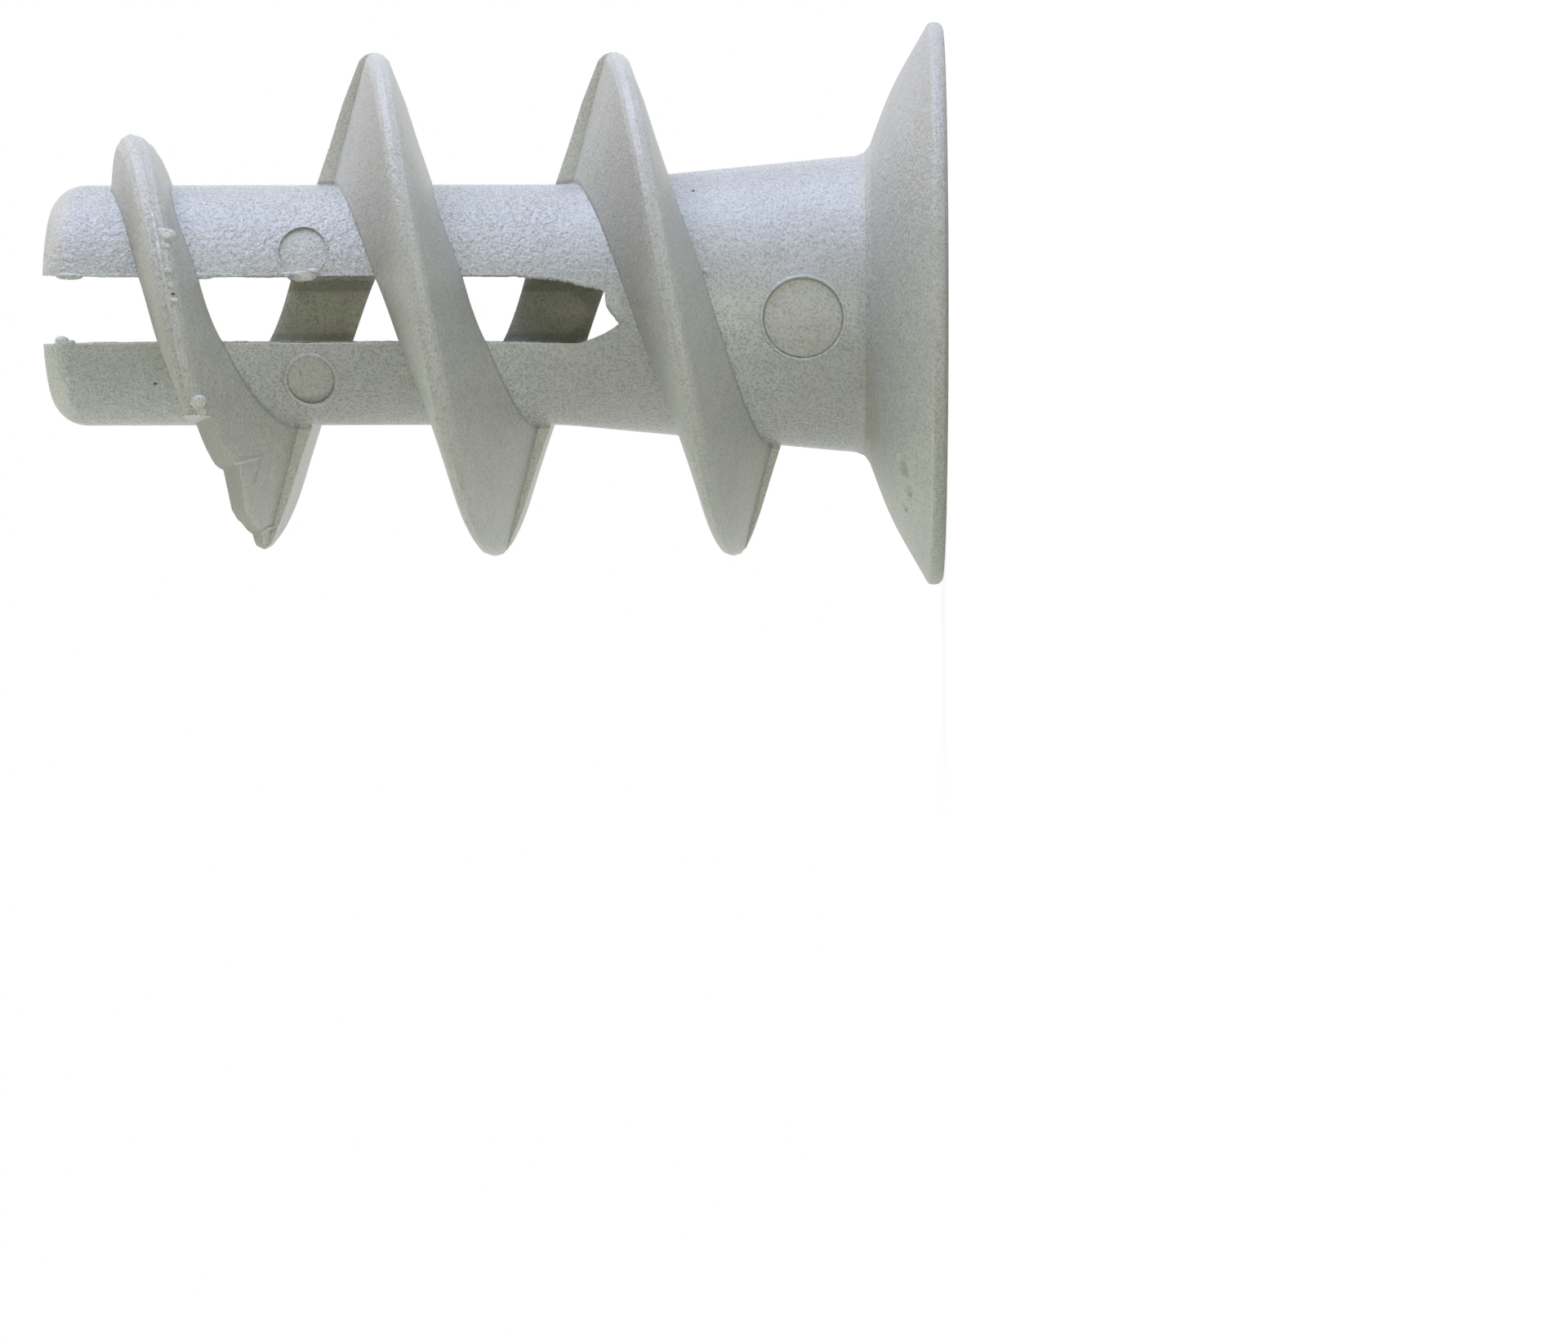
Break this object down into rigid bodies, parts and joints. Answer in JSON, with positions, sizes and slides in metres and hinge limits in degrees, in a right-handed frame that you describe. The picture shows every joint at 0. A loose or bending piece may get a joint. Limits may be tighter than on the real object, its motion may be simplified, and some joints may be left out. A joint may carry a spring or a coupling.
{
  "type": "self-drilling drywall anchor",
  "caption": "One-piece nylon self-drilling plasterboard anchor with a coarse board thread on a slotted body, a flared collar and a thin round flange",
  "frame": {"origin": "centre of the flange's flat face, on which the anchor stands; it is also the bottom centre of the box", "axes": "+Z along the anchor's axis from the flange to the tips of the legs, the slot opens towards -Y and +Y, +X through one leg, right-handed"},
  "size_m": [0.0138, 0.0138, 0.0221],
  "materials": {
    "nylon": "pale grey moulded nylon with a fine spark-eroded grain"
  },
  "bodies": {
    "root": {"anchor_body": "nylon"}
  },
  "joints": []
}
